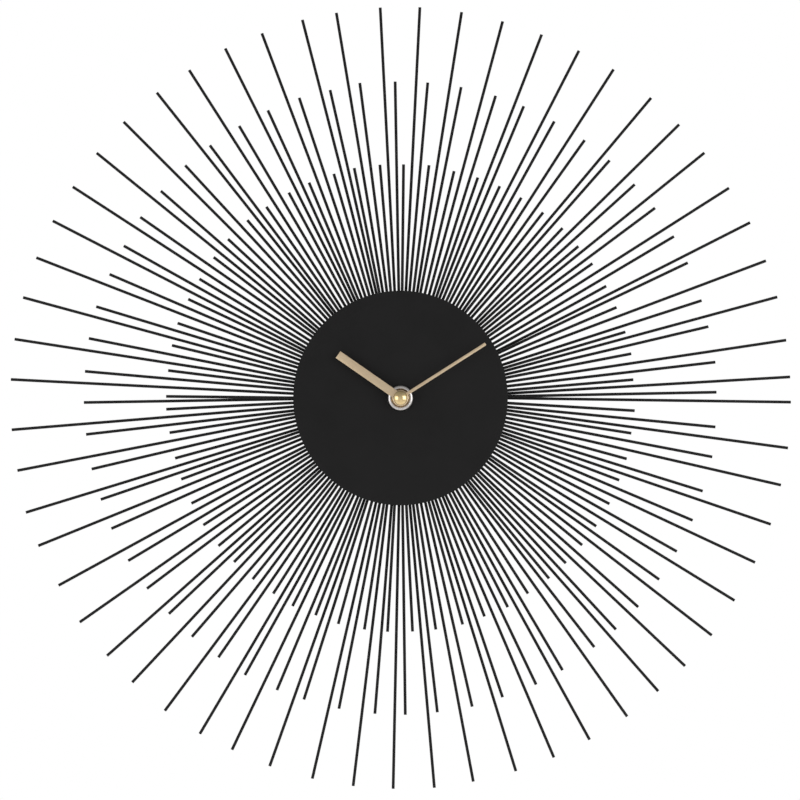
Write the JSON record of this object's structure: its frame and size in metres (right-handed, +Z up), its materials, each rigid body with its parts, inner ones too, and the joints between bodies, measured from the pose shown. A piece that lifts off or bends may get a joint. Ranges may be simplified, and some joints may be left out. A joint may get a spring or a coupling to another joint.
{
  "type": "sunburst wall clock",
  "caption": "Round black wall clock: a flat dial with two brass hands, a sunburst of straight steel rays in three lengths, and a battery movement that hangs on a nail.",
  "frame": {"origin": "on the hands' arbor, in the plane of the wall that the movement's back rests on", "axes": "+Y points back into the wall, +Z up through 12 o'clock, +X to 3 o'clock as seen from the front; the dial faces -Y"},
  "size_m": [0.4492, 0.0378, 0.4502],
  "materials": {
    "dial_paint": "matt black powder coat",
    "ray_paint": "satin black powder coat",
    "zinc_steel": "bright zinc plate",
    "spring_steel": "nickel-plated spring strip",
    "motor_steel": "bare soft-magnetic steel",
    "rubber": "matt",
    "turned_brass": "turned",
    "polished_brass": "polished",
    "hand_brass": "fine lengthwise brush, lacquered",
    "nickel": "bright nickel plate",
    "case_plastic": "moulded, fine spark texture",
    "knob_plastic": "moulded, ribbed",
    "train_plastic": "natural acetal",
    "board": "solder resist",
    "epoxy": "cast",
    "copper": "enamelled copper wire",
    "cell_jacket": "printed sleeve"
  },
  "bodies": {
    "clock": {"dial_plate": "dial_paint", "ray_wheel_long": "ray_paint", "ray_wheel_medium": "ray_paint", "ray_wheel_short": "ray_paint", "dial_nut_1": "zinc_steel", "dial_nut_2": "zinc_steel", "dial_nut_3": "zinc_steel", "dial_nut_4": "zinc_steel", "hanger_bracket": "zinc_steel", "rubber_washer": "rubber", "bushing": "turned_brass", "fixing_nut": "nickel", "movement_case": "case_plastic", "rear_cover": "case_plastic", "train_bridge": "train_plastic", "contact_positive": "spring_steel", "contact_negative": "spring_steel", "circuit_board": "board", "chip": "epoxy", "crystal_can": "nickel", "coil_bobbin": "train_plastic", "coil_winding": "copper", "coil_core": "motor_steel", "stator": "motor_steel", "core_screw_left": "zinc_steel", "core_screw_right": "zinc_steel"},
    "minute_work": {"centre_wheel": "train_plastic", "minute_arbor": "turned_brass", "minute_hand": "hand_brass", "cap_nut": "polished_brass"},
    "hour_work": {"hour_wheel": "train_plastic", "hour_hand": "hand_brass"},
    "motion_work": {"motion_wheel": "train_plastic"},
    "setting_work": {"setting_arbor": "train_plastic", "setting_knob": "knob_plastic"},
    "third_work": {"third_wheel": "train_plastic"},
    "seconds_work": {"seconds_wheel": "train_plastic"},
    "fifth_work": {"fifth_wheel": "train_plastic"},
    "motor_rotor": {"rotor": "train_plastic"},
    "cell": {"battery": "cell_jacket"}
  },
  "joints": [
    {"name": "minute_turn", "type": "hinge", "parent": "clock", "child": "minute_work", "pos_m": [0, -0.02, 0], "axis": [0, 1, 0], "continuous": true},
    {"name": "hour_turn", "type": "hinge", "parent": "clock", "child": "hour_work", "pos_m": [0, -0.02, 0], "axis": [0, 1, 0], "continuous": true},
    {"name": "motion_turn", "type": "hinge", "parent": "clock", "child": "motion_work", "pos_m": [-0.008, -0.013, 0], "axis": [0, 1, 0], "continuous": true},
    {"name": "setting_turn", "type": "hinge", "parent": "clock", "child": "setting_work", "pos_m": [-0.017, -0.007, 0], "axis": [0, 1, 0], "continuous": true},
    {"name": "third_turn", "type": "hinge", "parent": "clock", "child": "third_work", "pos_m": [0.0096, -0.008, 0.0035], "axis": [0, 1, 0], "continuous": true},
    {"name": "seconds_turn", "type": "hinge", "parent": "clock", "child": "seconds_work", "pos_m": [0, -0.006, 0], "axis": [0, 1, 0], "continuous": true},
    {"name": "fifth_turn", "type": "hinge", "parent": "clock", "child": "fifth_work", "pos_m": [-0.0065, -0.004, 0.0072], "axis": [0, 1, 0], "continuous": true},
    {"name": "rotor_turn", "type": "hinge", "parent": "clock", "child": "motor_rotor", "pos_m": [-0.009, -0.006, 0.0142], "axis": [0, 1, 0], "continuous": true},
    {"name": "cell_lift", "type": "slide", "parent": "clock", "child": "cell", "axis": [0, 1, 0], "range_m": [0, 0.03]}
  ],
  "couplings": [
    {"joint": "hour_turn", "follows": "minute_turn", "ratio": 0.083333},
    {"joint": "motion_turn", "follows": "minute_turn", "ratio": -0.33333},
    {"joint": "setting_turn", "follows": "minute_turn", "ratio": 0.66667},
    {"joint": "third_turn", "follows": "minute_turn", "ratio": -8},
    {"joint": "seconds_turn", "follows": "minute_turn", "ratio": 60},
    {"joint": "fifth_turn", "follows": "minute_turn", "ratio": -360},
    {"joint": "rotor_turn", "follows": "minute_turn", "ratio": 1800}
  ]
}
